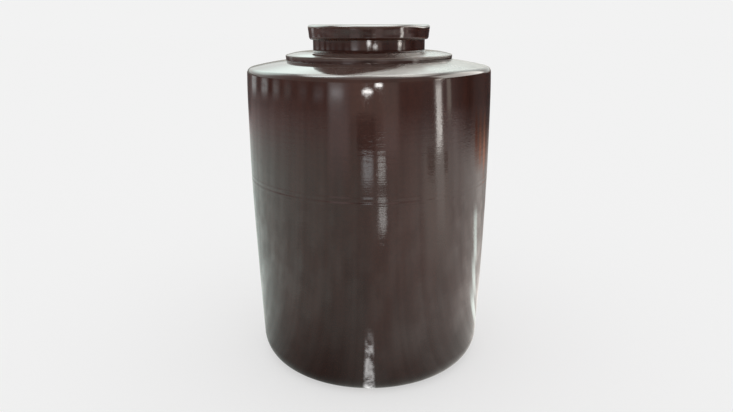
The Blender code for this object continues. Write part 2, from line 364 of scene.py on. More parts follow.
def wall_marks(z, phi):
    """Throwing ridges, swells and a body a little out of round."""
    # the ridges rise one pitch for each turn
    drift = 0.9 * ripple(z, 0.19, 1.3) + 0.5 * ripple(z, 0.071, phi)
    patches = waves(z, phi, seed=11, count=9, most_turns=4, lengths=(0.03, 0.25))
    uneven = np.clip(0.50 + 0.50 * patches, 0.05, 1.0)
    worked = 0.30 + 0.70 * fade(z, 0.66, 0.74)
    fine = ripple(z, 0.0058, phi + drift)
    broad = ripple(z, 0.0171, phi + 1.7 * ripple(z, 0.23))
    marks = worked * (0.000022 * uneven * fine + 0.000018 * (1.1 - uneven) * broad)
    swells = waves(z, phi, seed=3, count=8, most_turns=3, lengths=(0.060, 0.19))
    marks += fade(z, 0.60, 0.76) * 0.00007 * swells
    marks *= smooth(z, 0.020, 0.060) * fade(z, 0.705, 0.770)

    slow = 0.00045 * waves(z, phi, seed=5, count=5, most_turns=3, lengths=(0.40, 1.2))
    oval = smooth(z, 0.05, 0.2) * 0.0006 * np.cos(2 * phi + 0.7)
    return marks + smooth(z, 0.020, 0.060) * fade(z, 0.52, 0.815) * (slow + oval)


def luting_seam(z, phi):
    """Two soft beads with a groove between, stronger on some sides than on others."""
    strength = 0.62 + 0.38 * np.cos(phi + 2.2) + 0.22 * np.cos(3 * phi + 0.5)
    wander = 0.0006 * np.sin(2 * phi + 0.4) + 0.0004 * np.sin(5 * phi)
    across = z - SEAM_Z - wander
    upper = bell(across, SEAM_PITCH / 2, 0.0034)
    lower = bell(across, -SEAM_PITCH / 2, 0.0038)
    groove = bell(across, -0.0004, 0.0022)
    lump = 0.72 + 0.28 * np.sin(9 * phi + 1.1) * np.sin(4 * phi + 0.3)
    beads = 0.00048 * upper + 0.00060 * lower - 0.00022 * groove
    return beads * lump * np.clip(strength, 0.26, 1.2)


def jar_lift(points, normals, phi):
    radius, z = points[:, 0:1], points[:, 1:2]
    outward, upward = normals[:, 0:1], normals[:, 1:2]
    outside = (outward > 0.25) & (radius > 0.27) & (z > 0.012)
    lift = outside * (wall_marks(z, phi) + luting_seam(z, phi))

    # inside of the wall: bolder finger marks
    inside = (outward < -0.25) & (radius > 0.20)
    body = inside * smooth(z, 0.07, 0.12) * fade(z, 0.74, 0.79)
    lift += body * 0.00035 * ripple(z, 0.037, phi + 0.6 * ripple(z, 0.3))

    # the neck is very slightly crowned
    neck = (outward > 0.9) & (radius > 0.150) & (radius < 0.162) & (z > 0.87)
    crown = (z - NECK_MID_Z) ** 2 / 2.6
    lift -= neck * crown * fade(np.abs(z - NECK_MID_Z), 0.012, 0.020)
    neck_waves = waves(z, phi, seed=78, count=8, most_turns=9, lengths=(0.030, 0.060))
    lift += neck * smooth(z, 0.882, 0.887) * fade(z, 0.914, 0.920) * 0.00002 * neck_waves

    # shoulder and collar, smooth but not flat
    top = (upward > 0.25) & (radius > 0.172) & (z > 0.80)
    top = top * fade(radius, 0.325, 0.339) * smooth(np.abs(radius - COLLAR_R), 0.003, 0.012)
    top_waves = waves(radius, phi, seed=21, count=7, most_turns=3, lengths=(0.04, 0.12))
    return lift + top * (0.000016 * ripple(radius, 0.0125, phi) + 0.00010 * top_waves)


def tilt_shoulder(mesh):
    """The shoulder's edge isn't level: a little low in front, a little high at the right."""
    places = vertex_vectors(mesh)
    radius, _, turn = polar(places)
    z = places[:, 2]
    rise = 0.0026 * bell(turn, 52, 24.0) - 0.0024 * bell(turn, -2, 26.0)
    outer = ((radius > wall_radius(0.76) - 0.010)
             | ((z > 0.8405) & (radius > COLLAR_R - 0.0005))
             | ((z > 0.832) & (radius > 0.300)))
    places[:, 2] += rise * outer * smooth(radius, 0.262, 0.322) * smooth(z, 0.740, 0.800)
    move_vertices(mesh, places)
    return places


def jar_bare(radius, z, phi):
    """Bare clay: the land under the sealing ring, and everything the jar stands on."""
    land = smooth(z, LAND_Z - 0.0012, LAND_Z - 0.0002) * smooth(radius, MOUTH_R, MOUTH_R + 0.002)
    ragged = (0.0015 * np.sin(3 * phi + 0.5) + 0.0009 * np.sin(7 * phi + 2.0)
              + 0.0005 * np.sin(17 * phi))
    foot = fade(z, 0.0020 + ragged, 0.0042 + ragged)
    foot = np.maximum(foot, (z < 0.0045) & (radius < FOOT_R - 0.003))
    return np.clip(land + foot, 0, 1)


def jar_inner(radius, z):
    """1 on the inside of the jar."""
    wall = np.array([wall_radius(height) for height in np.clip(z, FOOT_Z, SHOULDER_Z)])
    cavity = (z > FLOOR_Z - 0.001) & (radius < 0.3245) & (z < INNER_DOME_Z)
    outer_wall = (z < 0.80) & (radius > wall - 0.006)
    outer_shoulder = (z >= 0.80) & (radius > 0.3225)
    mouth = (radius < MOUTH_R + 0.0015) & (z > 0.83)
    return (cavity & ~outer_wall & ~outer_shoulder) | mouth


def jar_haze(radius, z, turn):
    """Dust, and a painted sheen: pale grey, rougher glaze on the right of the shoulder and of the collar.
    """
    wavy_turn = turn + 4 * np.sin(40 * radius)
    start = -13 + 300 * np.clip(0.32 - radius, 0, 0.09)
    haze = smooth(wavy_turn - start, 0, 15) * fade(wavy_turn, 96, 140)
    haze = haze * (radius > COLLAR_R + 0.0005) * fade(radius, 0.326, 0.337) * (z > 0.828)
    shelf = smooth(wavy_turn, 8, 30) * fade(wavy_turn, 62, 84)
    shelf = shelf * (radius > NECK_R + 0.006) * (radius <= COLLAR_R + 0.0005)
    return np.maximum(haze, 0.8 * shelf * (z > 0.862) * (z < 0.884))


def jar_dust(radius, z):
    """Thin dust on the shoulder and the collar all round."""
    shoulder = (z > 0.8285) & (radius > COLLAR_R + 0.0005)
    collar = (z > 0.862) & (z < 0.884) & (radius > NECK_R + 0.004)
    return (shoulder | collar) * fade(radius, 0.326, 0.336)


def jar_worn(radius, z):
    """Painted shade: the glaze's reflection turned down on the collar's edge and in the crease at the
    neck's foot.
    """
    edge = smooth(radius, COLLAR_R - 0.0045, COLLAR_R - 0.0015) * (z < 0.875)
    edge = edge * smooth(z, COLLAR_LIP_Z - 0.0022, COLLAR_LIP_Z - 0.0012)
    crease = fade(radius, NECK_R + 0.0035, NECK_R + 0.0060) * (radius > NECK_R - 0.001)
    return np.maximum(edge, crease * (z > 0.872) * fade(z, 0.8835, 0.8860))


def build_jar():
    outline = jar_cavity() + jar_neck_and_collar() + jar_shoulder() + jar_wall_and_foot()
    piece = turned("crock_body_glazed", without_doubles(outline), columns=132, lift=jar_lift)
    places = tilt_shoulder(piece.data)
    radius, phi, turn = polar(places)
    z = places[:, 2]
    set_attributes(piece,
                   bare=jar_bare(radius, z, phi),
                   inner=jar_inner(radius, z),
                   haze=jar_haze(radius, z, turn),
                   dust=jar_dust(radius, z),
                   worn=jar_worn(radius, z))
    return piece


# ------------------------------------------------------------------ the lid
def lid_outline():
    """Over the top and down the rim and skirt, then in under the lid and round the plug."""
    edge_z = LID_TOP_Z - LID_EDGE
    skirt = (LID_SKIRT_R - LID_SKIRT_LAND_R, LID_FACE_Z - LID_SKIRT_Z)
    tip, fillet, plug_round, plug_fillet = 0.0009, 0.0025, 0.003, 0.005
    tip_z = LID_SKIRT_Z + tip
    plug_z = PLUG_Z + plug_round
    under = LID_UNDER_Z
    return without_doubles([
        (0.0, LID_TOP_Z),
        *line((0.0020, LID_TOP_Z), (LID_RIM_R - LID_EDGE, LID_TOP_Z), step=0.0027),
        *arc((LID_RIM_R - LID_EDGE, edge_z), (LID_EDGE, LID_EDGE), 90, 0, steps=10),
        *line((LID_RIM_R, edge_z), (LID_SKIRT_R, LID_FACE_Z), step=0.0021),
        *arc((LID_SKIRT_LAND_R, LID_FACE_Z), skirt, 0, -90, steps=9),
        *arc((LID_SKIRT_IN_R + tip, tip_z), (tip, tip), -90, -180, steps=3),
        *line((LID_SKIRT_IN_R, tip_z), (LID_SKIRT_IN_R, under - fillet), step=0.0035),
        *arc((LID_SKIRT_IN_R - fillet, under - fillet), (fillet, fillet), 0, 90, steps=4),
        *line((LID_SKIRT_IN_R - fillet, under), (PLUG_R + 0.0008, under), step=0.0044),
        (PLUG_R, under - 0.0004),
        *line((PLUG_R, under - 0.0012), (PLUG_R, plug_z), step=0.0035),
        *arc((PLUG_R - plug_round, plug_z), (plug_round, plug_round), 0, -90, steps=5),
        *arc((PLUG_IN_R + plug_round, plug_z), (plug_round, plug_round), -90, -180, steps=5),
        *line((PLUG_IN_R, plug_z), (PLUG_IN_R, under - plug_fillet), step=0.0035),
        *arc((PLUG_IN_R - plug_fillet, under - plug_fillet), (plug_fillet, plug_fillet),
             0, 90, steps=5),
        *line((PLUG_IN_R - plug_fillet, under), (0.0025, under), step=0.0055),
        (0.0, under),
    ])


def lid_lift(points, normals, phi):
    radius, z = points[:, 0:1], points[:, 1:2]
    outward, upward = normals[:, 0:1], normals[:, 1:2]
    clear_of_axis = smooth(radius, 0.004, 0.02)

    top = (upward > 0.6) & (z > LID_TOP_Z - 0.003)
    rings = 0.000014 * ripple(radius, 0.0105, phi + 0.9 * ripple(radius, 0.05))
    swells = 0.00012 * waves(radius, phi, seed=31, count=6, most_turns=3, lengths=(0.05, 0.16))
    lift = top * fade(radius, 0.145, 0.163) * clear_of_axis * (rings - 0.00014 + swells)

    face = (outward > 0.6) & (radius > 0.163)
    ridges = 0.000022 * ripple(z, 0.0062, phi)
    swells = 0.00010 * waves(z, phi, seed=33, count=5, most_turns=3, lengths=(0.05, 0.2))
    dents = 0.00015 * waves(z, phi, seed=77, count=9, most_turns=17, lengths=(0.022, 0.060))
    lift = lift + face * (ridges + swells - 0.00006 + dents)

    under = (upward < -0.6) & (radius < 0.105)
    return lift + under * clear_of_axis * 0.00012 * ripple(radius, 0.0125, phi)


def sag_lid(mesh):
    """The rim sags a little at the front and at either side of it."""
    places = vertex_vectors(mesh)
    radius, _, turn = polar(places)
    z = places[:, 2]
    sag = 0.0050 * bell(turn, 0, 34.0) + 0.0040 * bell(turn, 60, 14.0)
    sag += 0.0020 * bell(turn, -58, 26.0)
    height = smooth(z, LID_FACE_Z + 0.002, LID_TOP_Z - LID_EDGE)
    height = height * ((radius > 0.1640) | (z > LID_TOP_Z - 0.0045))
    slope_start = 0.085
    slope = np.clip((radius - slope_start) / (LID_RIM_R - slope_start), 0, 1)
    places[:, 2] -= sag * height * slope * (0.35 + 0.65 * slope)
    move_vertices(mesh, places)
    return places


def build_lid():
    piece = turned("lid_glazed", lid_outline(), columns=168, lift=lid_lift)
    places = sag_lid(piece.data)
    radius, phi, _ = polar(places)
    z = places[:, 2]
    # bare clay: the seat of the sealing ring, the skirt's foot and the plug's foot
    ragged = 0.0008 * np.sin(5 * phi) + 0.0005 * np.sin(11 * phi + 1)
    seat = fade(np.abs(z - LID_UNDER_Z), 0.0006, 0.0016) * (radius < LID_SKIRT_IN_R + 0.0004)
    seat = seat * smooth(radius + ragged, PLUG_R - 0.001, PLUG_R + 0.0015)
    skirt = fade(z + 0.4 * ragged, LID_SKIRT_Z + 0.0006, LID_SKIRT_Z + 0.0020)
    skirt = skirt * fade(radius, 0.1618, 0.1632)
    plug = fade(z, PLUG_Z + 0.0006, PLUG_Z + 0.0018)
    plug = plug * (radius < PLUG_R + 0.001) * (radius > PLUG_IN_R - 0.001)
    bare = np.maximum(np.maximum(seat, skirt), plug) * (z < LID_TOP_Z - 0.01)
    inner = (z < LID_UNDER_Z + 0.0008) & (radius < LID_SKIRT_IN_R + 0.0006)
    set_attributes(piece, bare=bare, inner=inner)
    return piece


# ------------------------------------------------------------------ the sealing ring
def ring_groove(radius, face_z, way):
    """A shallow groove: way is 1 in the ring's underside and -1 in its top."""
    return [(radius + way * across, face_z + way * depth) for across, depth in GROOVE]


def ring_bore():
    """The sealing ring's inner radius, read from its CAD node."""
    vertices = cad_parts["lid_seal_ring"].data.vertices
    places = np.array([vertex.co for vertex in vertices], float)
    return float(np.hypot(places[:, 0], places[:, 1]).min())


def build_ring():
    inner, outer = ring_bore(), ring_hi.x
    low, high = ring_lo.z, ring_hi.z
    mid = (low + high) / 2
    inset = RING_ROUND
    rounding = (inset, inset)
    outline = arc((outer - inset, high - inset), rounding, 90, 0, steps=5)
    outline += [(outer, mid + 0.0003), (outer + RING_LINE, mid), (outer, mid - 0.0003)]
    outline += arc((outer - inset, low + inset), rounding, 0, -90, steps=5)
    for radius in GROOVE_RADII:
        outline += ring_groove(radius, low, 1)
    outline += arc((inner + inset, low + inset), rounding, -90, -180, steps=5)
    outline += arc((inner + inset, high - inset), rounding, 180, 90, steps=5)
    for radius in reversed(GROOVE_RADII):
        outline += ring_groove(radius, high, -1)
    return turned("lid_seal_ring_soft", outline, columns=160, closed=True, edge_range=(4000, 9000))


# ------------------------------------------------------------------ pressing weights
def weight_blank(node, side, radius, gap, low, high):
    """A sharp-edged half moon with finger holes, on the side of x given by side (-1 or 1)."""
    curve = bpy.data.curves.new(node + "_outline", "CURVE")
    curve.dimensions = "2D"
    curve.fill_mode = "BOTH"
    curve.extrude = (high - low) / 2

    def add_loop(centre_x, centre_y, size, angles):
        spline = curve.splines.new("POLY")
        spline.points.add(len(angles) - 1)
        for point, angle in zip(spline.points, angles):
            x = centre_x + size * math.cos(angle)
            point.co = (side * x, centre_y + size * math.sin(angle), 0.0, 1.0)
        spline.use_cyclic_u = True

    half = math.acos(gap / radius)
    add_loop(0.0, 0.0, radius, np.linspace(-half, half, 97))
    for y in HOLE_YS:
        add_loop(HOLE_X, y, HOLE_R, np.arange(48) * TAU / 48)
    temporary = link(node + "_temp", curve)
    bpy.context.view_layer.update()
    evaluated = temporary.evaluated_get(bpy.context.evaluated_depsgraph_get())
    mesh = bpy.data.meshes.new_from_object(evaluated)
    bpy.data.objects.remove(temporary, do_unlink=True)

    edit = bmesh.new()
    edit.from_mesh(mesh)
    bmesh.ops.remove_doubles(edit, verts=edit.verts, dist=2e-5)
    bmesh.ops.dissolve_limit(edit, angle_limit=math.radians(1), verts=edit.verts, edges=edit.edges)
    bmesh.ops.recalc_face_normals(edit, faces=edit.faces)
    bmesh.ops.translate(edit, verts=edit.verts, vec=(0, 0, (low + high) / 2))
    edit.to_mesh(mesh)
    edit.free()
    return mesh


def soften(piece, name):
    """Rounds the edges and rebuilds the surface as an even, relaxed mesh."""
    bevel = piece.modifiers.new("Edges", "BEVEL")
    bevel.width = 0.0042
    bevel.segments = 4
    bevel.limit_method = "ANGLE"
    bevel.angle_limit = math.radians(40)
    remesh = piece.modifiers.new("Even", "REMESH")
    remesh.mode = "VOXEL"
    remesh.voxel_size = 0.0026
    relax = piece.modifiers.new("Relax", "SMOOTH")
    relax.iterations = 4
    relax.factor = 0.5
    depsgraph = bpy.context.evaluated_depsgraph_get()
    mesh = bpy.data.meshes.new_from_object(piece.evaluated_get(depsgraph), depsgraph=depsgraph)
    piece.modifiers.clear()
    piece.data = mesh
    mesh.name = name
    return mesh


def build_weight(node, side, seed):
    """A half moon of clay: finger holes, soft edges, a faintly uneven face."""
    box_lo, box_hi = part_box(node)
    low, high = box_lo.z, box_hi.z
    radius = max(abs(box_lo.x), abs(box_hi.x))
    gap = min(abs(box_lo.x), abs(box_hi.x))
    name = node + "_stone"
    piece = link(name, weight_blank(node, side, radius, gap, low, high))
    mesh = soften(piece, name)

    places = vertex_vectors(mesh)
    normals = vertex_vectors(mesh, "normal")
    rng = np.random.RandomState(seed)
    uneven = np.zeros(len(places))
    wave_count = 14
    for _ in range(wave_count):
        direction = rng.normal(size=3) * TAU / rng.uniform(0.025, 0.16)
        uneven += np.cos(places @ direction + rng.rand() * TAU)
    uneven = uneven / wave_count ** 0.5
    places += normals * (-0.00028 + 0.00016 * np.clip(uneven, -1.6, 1.6))[:, None]
    places[:, 2] = np.clip(places[:, 2], low, high)
    move_vertices(mesh, places)
    mesh.shade_smooth()

    # distance from the outline and the holes: the glaze thins there, at the top
    x, y, z = np.abs(places[:, 0]), places[:, 1], places[:, 2]
    rim = np.minimum(radius - np.hypot(x, y), x - gap)
    for hole_y in HOLE_YS:
        rim = np.minimum(rim, np.hypot(x - HOLE_X, y - hole_y) - HOLE_R)
    set_attributes(piece,
                   bare=smooth(-normals[:, 2], 0.55, 0.92),
                   inner=np.zeros(len(places)),
                   edge=fade(rim, 0.0008, 0.0065) * smooth(z, high - 0.0085, high - 0.002))
    return piece


# ------------------------------------------------------------------ shader graphs
class Graph:
    """Builds the node tree of a material or world."""

    def __init__(self, owner):
        owner.use_nodes = True
        self.tree = owner.node_tree
        self.tree.nodes.clear()

    def node(self, kind, inputs=(), **settings):
        """Adds a node. inputs maps sockets to Values, numbers, vectors or RGB colours."""
        node = self.tree.nodes.new(kind)
        for key, setting in settings.items():
            setattr(node, key, setting)
        for key, value in dict(inputs).items():
            socket = node.inputs[key]
            if isinstance(value, Value):
                self.tree.links.new(value.socket, socket)
            elif socket.type == "RGBA":
                socket.default_value = (*value, 1)
            else:
                socket.default_value = value
        return node

    def value(self, kind, inputs=(), output=0, **settings):
        return Value(self, self.node(kind, inputs, **settings).outputs[output])

    def outputs(self, kind, *names, inputs=()):
        node = self.node(kind, inputs)
        return [Value(self, node.outputs[name]) for name in names]

    def axes(self, vector):
        return self.outputs("ShaderNodeSeparateXYZ", "X", "Y", "Z", inputs={0: vector})

    def coordinates(self, output):
        return self.value("ShaderNodeTexCoord", output=output)

    def attribute(self, name):
        return self.value("ShaderNodeAttribute", output="Fac",
                          attribute_type="GEOMETRY", attribute_name=name)

    def math(self, operation, first, second=0.0, *third, clamp=False):
        operands = dict(enumerate((first, second, *third)))
        return self.value("ShaderNodeMath", operands, operation=operation, use_clamp=clamp)

    def mix_shader(self, factor, base, top):
        return self.value("ShaderNodeMixShader", {0: factor, 1: base, 2: top})

    def emission(self, **inputs):
        return self.value("ShaderNodeEmission", inputs)

    def bump(self, height, distance):
        return self.value("ShaderNodeBump", {"Distance": distance, "Height": height})


class Value:
    """An output socket. Arithmetic and the methods below add nodes to its graph."""

    def __init__(self, graph, socket):
        self.graph = graph
        self.socket = socket

    def __add__(self, other):
        return self.graph.math("ADD", self, other)

    def __radd__(self, other):
        return self.graph.math("ADD", other, self)

    def __sub__(self, other):
        return self.graph.math("SUBTRACT", self, other)

    def __rsub__(self, other):
        return self.graph.math("SUBTRACT", other, self)

    def __mul__(self, other):
        return self.graph.math("MULTIPLY", self, other)

    def __abs__(self):
        return self.graph.math("ABSOLUTE", self)

    def max(self, other):
        return self.graph.math("MAXIMUM", self, other)

    def ramp(self, low, high, start=0.0, end=1.0):
        """Goes softly from start, at low, to end, at high."""
        inputs = {"Value": self, "From Min": low, "From Max": high, "To Min": start, "To Max": end}
        return self.graph.value("ShaderNodeMapRange", inputs, output="Result",
                                interpolation_type="SMOOTHSTEP", clamp=True)

    def fall(self, low, high):
        return self.ramp(low, high, 1.0, 0.0)

    def band(self, low, high, soft_low, soft_high):
        """1 between low and high, with soft edges. Without an upper edge if high is None."""
        inside = self.ramp(low - soft_low, low + soft_low)
        if high is None:
            return inside
        return inside * self.fall(high - soft_high, high + soft_high)

    def mix(self, base, top):
        """The base colour where this is 0, the top colour where it is 1."""
        return self.graph.value("ShaderNodeMix", {"Factor": self, 6: base, 7: top}, output=2,
                                data_type="RGBA", blend_type="MIX", clamp_factor=True)

    def scaled(self, factor):
        return self.graph.value("ShaderNodeVectorMath", {0: self, "Scale": factor},
                                operation="SCALE")

    def stretched(self, scale, offset=(0, 0, 0)):
        return self.graph.value("ShaderNodeMapping",
                                {"Vector": self, "Scale": scale, "Location": offset})

    def noise(self, scale, detail=3.0, rough=0.5, distort=0.0):
        inputs = {"Vector": self, "Scale": scale, "Detail": detail, "Roughness": rough,
                  "Distortion": distort}
        return self.graph.value("ShaderNodeTexNoise", inputs, output="Fac")

    def cells(self, scale):
        """Distance from scattered points."""
        return self.graph.value("ShaderNodeTexVoronoi", {"Vector": self, "Scale": scale},
                                output="Distance")


# ------------------------------------------------------------------ materials
DEEP, WARM, THIN = (0.033, 0.0094, 0.0057), (0.050, 0.0132, 0.0078), (0.115, 0.038, 0.016)
WEIGHT_DEEP, WEIGHT_WARM, WEIGHT_THIN = (0.050, 0.022, 0.013), (0.085, 0.036, 0.018), (0.17, 0.075, 0.032)
CLAY = (0.36, 0.235, 0.145)
# the last colour is pale grey, for dust and for a painted sheen on the right of the shoulder
SPECK, CLAY_SPOT, DUST_AND_SHEEN = (0.006, 0.004, 0.004), (0.045, 0.026, 0.018), (0.290, 0.270, 0.248)


def glaze_colour(graph, position, broken, inner, deep, warm, thin):
    # large soft clouds, long runs down the wall, a fine mottle and dark specks
    clouds = position.stretched((1, 1, 0.55)).noise(scale=4.2, detail=4, rough=0.55, distort=0.4)
    runs = position.stretched((1, 1, 0.09)).noise(scale=34.0, detail=4, rough=0.6)
    mottled = position.noise(scale=95.0, detail=4, rough=0.6)
    tone = clouds * 0.62 + runs * 0.38
    colour = tone.ramp(0.38, 0.64).mix(deep, warm)
    darker = [channel * 0.55 for channel in deep]
    colour = (mottled.ramp(0.35, 0.75) * 0.30).mix(colour, darker)
    specks = position.cells(scale=230.0).fall(0.05, 0.11)
    rare = position.noise(scale=60.0, detail=1).ramp(0.55, 0.62)
    colour = (specks * rare * 0.75).mix(colour, SPECK)
    # rust where the glaze breaks on edges, and a browner inside
    colour = (broken * 0.35).mix(colour, thin)
    brown = [0.5 * first + 0.5 * second for first, second in zip(warm, thin)]
    colour = (inner * 0.55).mix(colour, brown)
    # faint settled dust all round, and a painted sheen: strong pale grey on the right of the shoulder and
    # collar
    dust_and_sheen_strength = position.noise(scale=26.0, detail=4, rough=0.6).ramp(0.30, 0.68, 0.48, 0.72)
    faint = position.noise(scale=19.0, detail=4, rough=0.6).ramp(0.30, 0.68, 0.10, 0.19)
    settled_dust_and_sheen = (graph.attribute("haze") * dust_and_sheen_strength).max(graph.attribute("dust") * faint)
    return settled_dust_and_sheen.mix(colour, DUST_AND_SHEEN)


def clay_colour(position, sand, clay):
    """Sandy clay with darker flashes and iron spots."""
    flash = position.noise(scale=11.0, detail=3, rough=0.5)
    dark = (clay[0] * 0.62, clay[1] * 0.48, clay[2] * 0.38)
    light = (clay[0] * 1.35, clay[1] * 1.3, clay[2] * 1.2)
    colour = flash.ramp(0.35, 0.68).mix(clay, dark)
    colour = (sand.ramp(0.35, 0.70) * 0.35).mix(colour, light)
    spots = position.cells(scale=160.0).fall(0.06, 0.14)
    return (spots * 0.7).mix(colour, CLAY_SPOT)


def surface_roughness(graph, position, broken, ragged, sand, rough):
    """Glassy glaze, cloudier in faint patches and under dust, and rough clay."""
    cloudy = position.noise(scale=8.0, detail=4, rough=0.6)
    smear = position.stretched((1, 1, 0.25)).noise(scale=46.0, detail=3, rough=0.6)
    glassy = cloudy.ramp(0.35, 0.72, rough * 0.78, rough * 1.35) + smear.ramp(0.45, 0.75, 0.0, 0.03)
    glassy = glassy + broken * 0.06
    glassy = glassy + graph.attribute("haze") * cloudy.ramp(0.3, 0.65, 0.75, 1.0) * 0.26
    return graph.math("ADD", glassy * (1.0 - ragged), ragged * sand.ramp(0.3, 0.7, 0.78, 0.93),
                      clamp=True)


def glaze_relief(graph, position):
    """Orange peel, pinholes, and rills and dents left in patches of the wall."""
    peel = position.noise(scale=120.0, detail=3, rough=0.5, distort=0.3)
    micro = position.noise(scale=480.0, detail=2, rough=0.5)
    pins = position.stretched((1, 1, 1), (3.1, 1.7, 0.4)).cells(scale=118.0).ramp(0.035, 0.10)
    pin_patches = position.noise(scale=23.0, detail=1).ramp(0.60, 0.66)
    pits = (1.0 - pins) * pin_patches
    height = peel * 1.0 + micro * 0.10 - pits * 1.6

    x, y, z = graph.axes(position)
    phi = graph.math("ARCTAN2", y, x)
    sway = position.stretched((1, 1, 1.6)).noise(scale=7.0, detail=2) * 9.0
    rill_pitch = 0.0041
    rills = graph.math("SINE", z * (TAU / rill_pitch) + phi + sway)
    marked = position.stretched((1, 1, 2.2)).noise(scale=9.0, detail=2, rough=0.5).ramp(0.38, 0.66)
    chatter = position.stretched((1, 1, 2.7)).noise(scale=92.0, detail=2, rough=0.5) - 0.5
    dents = rills * 0.14 + chatter * 2.0
    # the marks stop below the shoulder, but go higher at the right of the front
    side = abs(phi + math.radians(56)).fall(0.15, 0.34)
    limit = z.fall(0.735, 0.775).max(side * z.ramp(0.798, 0.814, 0.85, 0.0))
    return height * z.ramp(0.735, 0.785, 1.0, 0.30) + dents * (marked * limit)


def glaze(name, deep, warm, thin, clay, rough=0.062, offset=(0, 0, 0)):
    """Iron glaze on stoneware: deep and warm areas, thin on edges, bare clay where 'bare' is 1."""
    material = bpy.data.materials.new(name)
    graph = Graph(material)
    position = graph.coordinates("Object").stretched((1, 1, 1), offset)
    bare, edge, inner = [graph.attribute(key) for key in ("bare", "edge", "inner")]
    broken = edge * position.noise(scale=70.0, detail=3).ramp(0.30, 0.68, 0.35, 1.0)
    sand = position.noise(scale=420.0, detail=5, rough=0.7)
    fray = (position.noise(scale=150.0, detail=4, rough=0.6) - 0.5) * 0.5
    ragged = (bare + fray).ramp(0.42, 0.58)

    glazed = glaze_colour(graph, position, broken, inner, deep, warm, thin)
    grit = sand * 3.4 + position.noise(scale=1500.0, detail=2, rough=0.6) * 1.2
    height = glaze_relief(graph, position) * (1.0 - ragged) + grit * ragged
    surface = graph.value("ShaderNodeBsdfPrincipled", {
        "Base Color": ragged.mix(glazed, clay_colour(position, sand, clay)),
        "Roughness": surface_roughness(graph, position, broken, ragged, sand, rough),
        "IOR": 1.52,
        # painted shade: weaker reflection on the collar's edge and in the neck's crease
        "Specular IOR Level": 0.5 - graph.attribute("worn") * 0.38,
        "Normal": graph.bump(height, distance=0.000075),
    })
    graph.node("ShaderNodeOutputMaterial", {"Surface": surface})
    return material


def silicone(name):
    material = bpy.data.materials.new(name)
    graph = Graph(material)
    position = graph.coordinates("Object")
    cloud = position.noise(scale=18.0, detail=3)
    fine = position.noise(scale=260.0, detail=3)
    pale, cream, brown = (0.70, 0.66, 0.57), (0.60, 0.54, 0.43), (0.42, 0.35, 0.26)
    colour = cloud.ramp(0.35, 0.7).mix(pale, cream)
    surface = graph.value("ShaderNodeBsdfPrincipled", {
        "Base Color": (fine.ramp(0.55, 0.8) * 0.25).mix(colour, brown),
        "Roughness": fine.ramp(0.3, 0.7, 0.38, 0.56),
        "Subsurface Weight": 0.25,
        "Subsurface Radius": (0.004, 0.003, 0.002),
        "Subsurface Scale": 1.0,
        "Normal": graph.bump(fine, distance=0.00008),
    })
    graph.node("ShaderNodeOutputMaterial", {"Surface": surface})
    return material


# ------------------------------------------------------------------ studio
PALE = (0.8879, 0.8879, 0.8879)     # what the camera sees behind the crock
FLOOR_GLOW = 1.0486                 # the floor's own light, times PALE
FLOOR_RADII = (0.2785, 0.5, 1.2, 3.0, 10.0, 60.0)   # the first is a hole under the jar
FLOOR_Z_DROP = 0.0004

LAMP_DISTANCE = 5.0
WARM_WHITE, WHITE = (1.0, 0.94, 0.88), (1.0, 0.99, 0.97)
# name, azimuth, height of centre, width, tall, colour, strength, slopes between which it shows
LAMPS = (
    ("lamp_a", -1.4, 0.552, 1.02, 0.150, WHITE, 34.0, (-0.5, 0.058)),
    ("lamp_b", 8.0, 0.690, 0.80, 0.140, WHITE, 32.0, (-0.5, 0.031)),
    # a higher row, mirrored in the neck
    ("lamp_c", 0.0, 0.780, 1.05, 0.075, WHITE, 36.0, (0.015, 0.5)),
    ("lamp_d", 12.4, 0.716, 1.15, 0.058, WHITE, 26.0, (0.028, 0.5)),
    ("lamp_e", 64.0, 0.766, 1.10, 0.085, WARM_WHITE, 30.0, (0.015, 0.5)),
)

# The sky that the glaze mirrors, painted in this order. Columns, in degrees:
# elevation (low, high, soft low, soft high), azimuth (centre, half width, soft edge), colour.
SKY = (
    # walls
    ((20, 48, 12, 10), (-155, 30, 25), (3.6, 4.2, 4.0)),
    ((24, 56, 12, 12), (150, 30, 25), (2.3, 2.5, 2.4)),
    ((52, None, 8, 8), None, (1.7, 1.75, 1.7)),
    ((-4, 5, 2, 2.5), (-158, 30, 10), (0.30, 0.31, 0.28)),
    ((-4, 3, 2, 1.5), (160, 26, 10), (0.55, 0.53, 0.48)),
    # panels overhead and high behind
    ((58, 76, 7, 6), (-124, 30, 16), (10.5, 11.2, 10.9)),
    ((60, 78, 8, 6), (122, 42, 16), (8.5, 8.5, 8.0)),
    ((60, 80, 8, 7), (0, 45, 25), (1.0, 0.95, 0.92)),
    ((37, 58, 6, 8), (180, 13, 12), (6.0, 6.1, 5.9)),
    ((30, 80, 8, 8), (-171, 2.5, 5), (2.2, 2.2, 2.1)),
    ((80, None, 5, 5), None, (2.2, 2.25, 2.2)),
    # the window at the right
    ((6, 44, 5, 8), (100, 26, 12), (6.5, 6.4, 6.0)),
    ((-5, 8, 3, 4), (64.5, 2.6, 2.5), (6.0, 5.6, 5.1)),
    ((-5, 6, 3, 2), (104, 26, 10), (0.20, 0.15, 0.13)),
)

